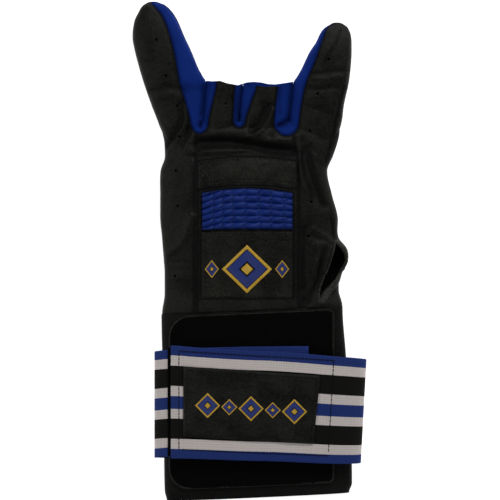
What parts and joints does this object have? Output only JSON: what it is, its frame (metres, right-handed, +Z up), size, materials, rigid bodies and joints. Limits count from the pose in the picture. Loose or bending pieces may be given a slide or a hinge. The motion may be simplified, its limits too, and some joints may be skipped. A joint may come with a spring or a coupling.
{
  "type": "bowling glove",
  "caption": "Bowling glove lying flat: closed end fingers, open middle stalls, shirred knuckle panel, thumb opening and a wide cuff wound with a striped elastic strap.",
  "frame": {"origin": "middle of the footprint, on the surface that the glove lies on", "axes": "+Z up out of the back of the hand, +Y towards the fingertips, +X towards the thumb opening"},
  "size_m": [0.1388, 0.2996, 0.0281],
  "materials": {
    "leather": "soft black glove leather with a slight sheen",
    "blue_cloth": "royal blue stretch cloth",
    "black_pile": "black brushed loop pile, matt",
    "striped_elastic": "woven elastic with blue, white and black stripes"
  },
  "bodies": {
    "root": {"palm_leather": "leather", "back_leather": "leather", "long_finger_back": "leather", "long_finger_palm": "leather", "short_finger_back": "leather", "short_finger_palm": "leather", "fourchette_left": "blue_cloth", "fourchette_middle": "blue_cloth", "fourchette_right": "blue_cloth", "knuckle_panel": "leather", "flex_panel": "blue_cloth", "back_patch": "leather", "thumb_binding": "leather", "cuff": "leather", "loop_panel": "black_pile", "wrist_strap": "striped_elastic", "strap_label": "leather"}
  },
  "joints": []
}
